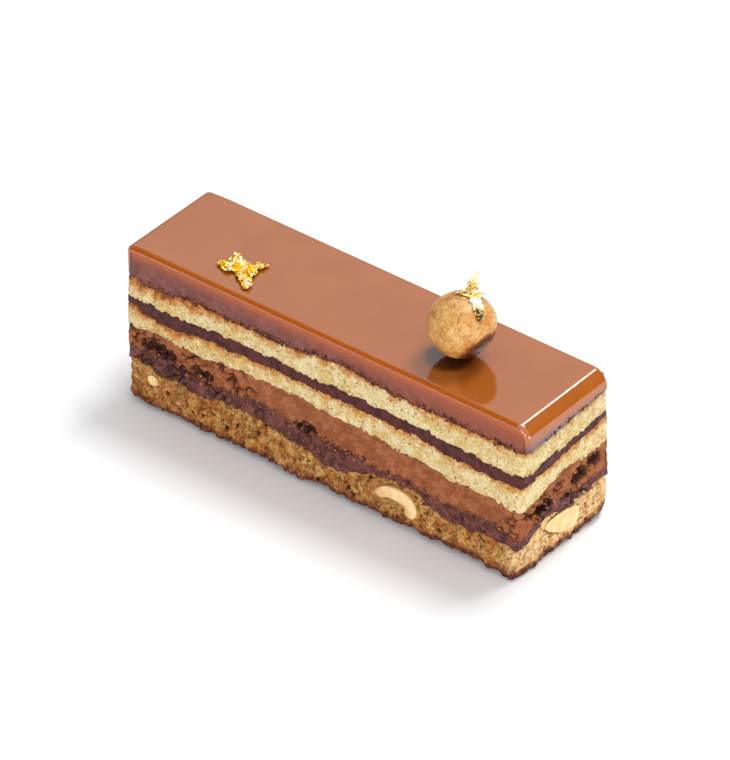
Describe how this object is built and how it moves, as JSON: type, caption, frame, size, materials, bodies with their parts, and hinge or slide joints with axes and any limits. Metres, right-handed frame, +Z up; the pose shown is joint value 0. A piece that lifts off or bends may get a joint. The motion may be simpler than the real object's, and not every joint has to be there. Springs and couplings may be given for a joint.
{
  "type": "entremet",
  "caption": "Oblong layered cake slice with biscuit base, praline, sponge and ganache layers under a chocolate glaze, topped with a whole hazelnut and gold leaf.",
  "frame": {"origin": "centre of the cake's outline on the surface that it stands on", "axes": "+X along the cake towards the pictured end, +Y towards the cut face turned from the camera, +Z up"},
  "size_m": [0.11, 0.035, 0.059],
  "materials": {
    "nut_biscuit": "coarse crumbly nut biscuit, browned underneath",
    "dark_paste": "dark chocolate cream, soft sheen",
    "praline": "grainy praline cream with crisp flakes",
    "sponge": "open almond sponge with a browned top",
    "ganache": "smooth dark ganache",
    "mousse": "matte chocolate mousse",
    "glaze": "glossy milk chocolate glaze",
    "hazelnut": "roasted, peeled hazelnut",
    "nut_flesh": "cut hazelnut",
    "gold_leaf": "bright crumpled gold leaf"
  },
  "bodies": {
    "root": {"base_biscuit": "nut_biscuit", "dark_paste": "dark_paste", "praline": "praline", "sponge_lower": "sponge", "ganache": "ganache", "sponge_upper": "sponge", "mousse": "mousse", "glaze": "glaze", "hazelnut": "hazelnut", "gold_flake": "gold_leaf", "gold_ribbon": "gold_leaf", "nut_front": "nut_flesh", "nut_front_small": "nut_flesh", "nut_end": "nut_flesh", "nut_back": "nut_flesh", "nut_left_end": "nut_flesh"}
  },
  "joints": []
}
